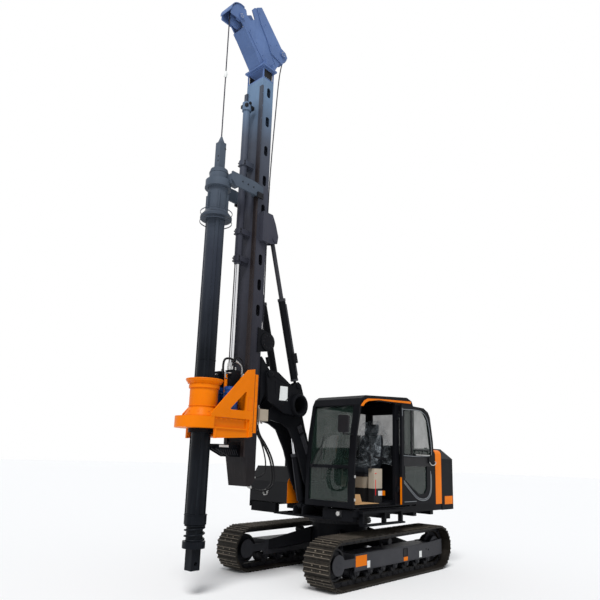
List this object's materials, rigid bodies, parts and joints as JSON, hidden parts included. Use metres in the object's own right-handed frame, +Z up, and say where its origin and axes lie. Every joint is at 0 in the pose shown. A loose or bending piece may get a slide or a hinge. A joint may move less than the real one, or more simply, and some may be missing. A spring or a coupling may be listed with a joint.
{
  "type": "rotary piling rig",
  "caption": "Crawler-mounted rotary piling rig with upright mast, telescopic kelly, crowd-driven rotary drive, tilting mast, luffing boom, slewing cab and opening door.",
  "frame": {"origin": "on the ground under the middle of the rig's length and width", "axes": "+X forward from the cab to the kelly, +Y to the left, +Z up"},
  "size_m": [6.04, 2.555, 9.8428],
  "materials": {
    "track_steel": "matt rolled steel",
    "black_paint": "satin paint",
    "mast_paint": "satin paint",
    "orange_paint": "gloss paint",
    "blue_paint": "gloss paint",
    "beige_paint": "satin paint",
    "rod_chrome": "polished",
    "cast_dark": "rough",
    "window_glass": "clear",
    "seat_fabric": "woven",
    "cab_plastic": "grained",
    "hose_rubber": "matt"
  },
  "bodies": {
    "undercarriage": {"track_left": "track_steel", "track_right": "track_steel", "track_frame_left": "black_paint", "track_frame_right": "black_paint", "car_body": "black_paint", "slew_ring_lower": "cast_dark", "drive_sprockets": "cast_dark", "front_idlers": "cast_dark", "track_rollers": "cast_dark"},
    "upperstructure": {"turning_frame": "black_paint", "counterweight": "black_paint", "engine_block": "cast_dark", "engine_hood": "black_paint", "hydraulic_tank": "black_paint", "front_tool_box": "orange_paint", "cab_shell": "black_paint", "operator_seat": "seat_fabric", "seat_base": "cab_plastic", "cab_step": "black_paint", "cab_glass": "window_glass", "cab_mirror": "black_paint"},
    "cab_door": {"door_frame": "black_paint", "door_glass": "window_glass"},
    "boom": {"boom_arms": "black_paint"},
    "lift_barrel": {"lift_cylinder_barrel": "black_paint"},
    "lift_rod": {"lift_cylinder_rod": "rod_chrome"},
    "mast": {"mast_column": "mast_paint", "mast_rails": "mast_paint", "mast_pivot_bracket": "black_paint", "tilt_cylinder_ears": "mast_paint", "winch_frame": "black_paint", "mast_head": "mast_paint", "mast_foot_stop": "black_paint", "crowd_cylinder_barrel": "mast_paint", "mast_valve_block": "beige_paint", "mast_hose_outer": "hose_rubber", "mast_hose_middle": "hose_rubber", "mast_hose_inner": "hose_rubber"},
    "tilt_barrels": {"tilt_cylinder_barrels": "black_paint"},
    "tilt_rods": {"tilt_cylinder_rods": "rod_chrome"},
    "winch": {"winch_drum": "black_paint"},
    "head_sheave_front": {"front_sheave": "black_paint"},
    "head_sheave_rear": {"rear_sheave": "black_paint"},
    "rotary_drive": {"drive_carriage": "orange_paint", "gear_case": "orange_paint", "rotary_motors": "blue_paint", "motor_valve_blocks": "black_paint", "drive_hose": "hose_rubber", "crowd_cylinder_rod": "rod_chrome"},
    "sleeve": {"drive_sleeve": "black_paint"},
    "kelly_top": {"kelly_guide": "mast_paint"},
    "kelly_outer": {"kelly_outer_tube": "mast_paint"},
    "kelly_inner": {"kelly_inner_bar": "mast_paint", "kelly_spring": "black_paint"}
  },
  "joints": [
    {"name": "slew", "type": "hinge", "parent": "undercarriage", "child": "upperstructure", "pos_m": [-0.715, 0, 0.893], "axis": [0, 0, 1], "continuous": true},
    {"name": "cab_door", "type": "hinge", "parent": "upperstructure", "child": "cab_door", "pos_m": [-0.745, 1.22, 2], "axis": [0, 0, -1], "range_deg": [0, 180]},
    {"name": "boom_lift", "type": "hinge", "parent": "upperstructure", "child": "boom", "pos_m": [-0.015, 0, 1.18], "axis": [0, -1, 0], "range_deg": [-8, 6]},
    {"name": "lift_cylinder_swing", "type": "hinge", "parent": "upperstructure", "child": "lift_barrel", "pos_m": [0.365, 0, 1.13], "axis": [0, -1, 0], "range_deg": [-45, 45]},
    {"name": "lift_cylinder_stroke", "type": "slide", "parent": "lift_barrel", "child": "lift_rod", "axis": [0.232, 0, 0.9727], "range_m": [-0.3, 0.3]},
    {"name": "mast_tilt", "type": "hinge", "parent": "boom", "child": "mast", "pos_m": [1.52, 0, 3.205], "axis": [0, 1, 0], "range_deg": [-84, 5]},
    {"name": "tilt_cylinder_swing", "type": "hinge", "parent": "boom", "child": "tilt_barrels", "pos_m": [0.845, 0, 3.09], "axis": [0, 1, 0], "range_deg": [-100, 20]},
    {"name": "tilt_cylinder_stroke", "type": "slide", "parent": "tilt_barrels", "child": "tilt_rods", "axis": [0.2829, 0, 0.9591], "range_m": [-1, 0.2]},
    {"name": "winch", "type": "hinge", "parent": "mast", "child": "winch", "pos_m": [1.547, 0, 3.737], "axis": [0, 1, 0], "continuous": true},
    {"name": "front_sheave", "type": "hinge", "parent": "mast", "child": "head_sheave_front", "pos_m": [2.45, 0, 9.36], "axis": [0, 1, 0], "continuous": true},
    {"name": "rear_sheave", "type": "hinge", "parent": "mast", "child": "head_sheave_rear", "pos_m": [1.425, 0, 9.215], "axis": [0, 1, 0], "continuous": true},
    {"name": "crowd", "type": "slide", "parent": "mast", "child": "rotary_drive", "axis": [0, 0, 1], "range_m": [-0.08, 1.5]},
    {"name": "sleeve_spin", "type": "hinge", "parent": "rotary_drive", "child": "sleeve", "pos_m": [2.59, 0, 2.6], "axis": [0, 0, 1], "continuous": true},
    {"name": "kelly_hoist", "type": "slide", "parent": "mast", "child": "kelly_top", "axis": [0, 0, 1], "range_m": [-2.45, 1.3]},
    {"name": "kelly_spin", "type": "hinge", "parent": "kelly_top", "child": "kelly_outer", "pos_m": [2.59, 0, 6], "axis": [0, 0, 1], "continuous": true},
    {"name": "kelly_telescope", "type": "slide", "parent": "kelly_outer", "child": "kelly_inner", "axis": [0, 0, 1], "range_m": [-4, 0]}
  ],
  "couplings": [
    {"joint": "lift_cylinder_swing", "follows": "boom_lift", "ratio": 1.0354},
    {"joint": "lift_cylinder_stroke", "follows": "boom_lift", "m_per_rad": 0.37941},
    {"joint": "tilt_cylinder_swing", "follows": "mast_tilt", "ratio": 1.1055},
    {"joint": "tilt_cylinder_stroke", "follows": "mast_tilt", "m_per_rad": 0.58787},
    {"joint": "sleeve_spin", "follows": "kelly_spin", "ratio": 1}
  ]
}
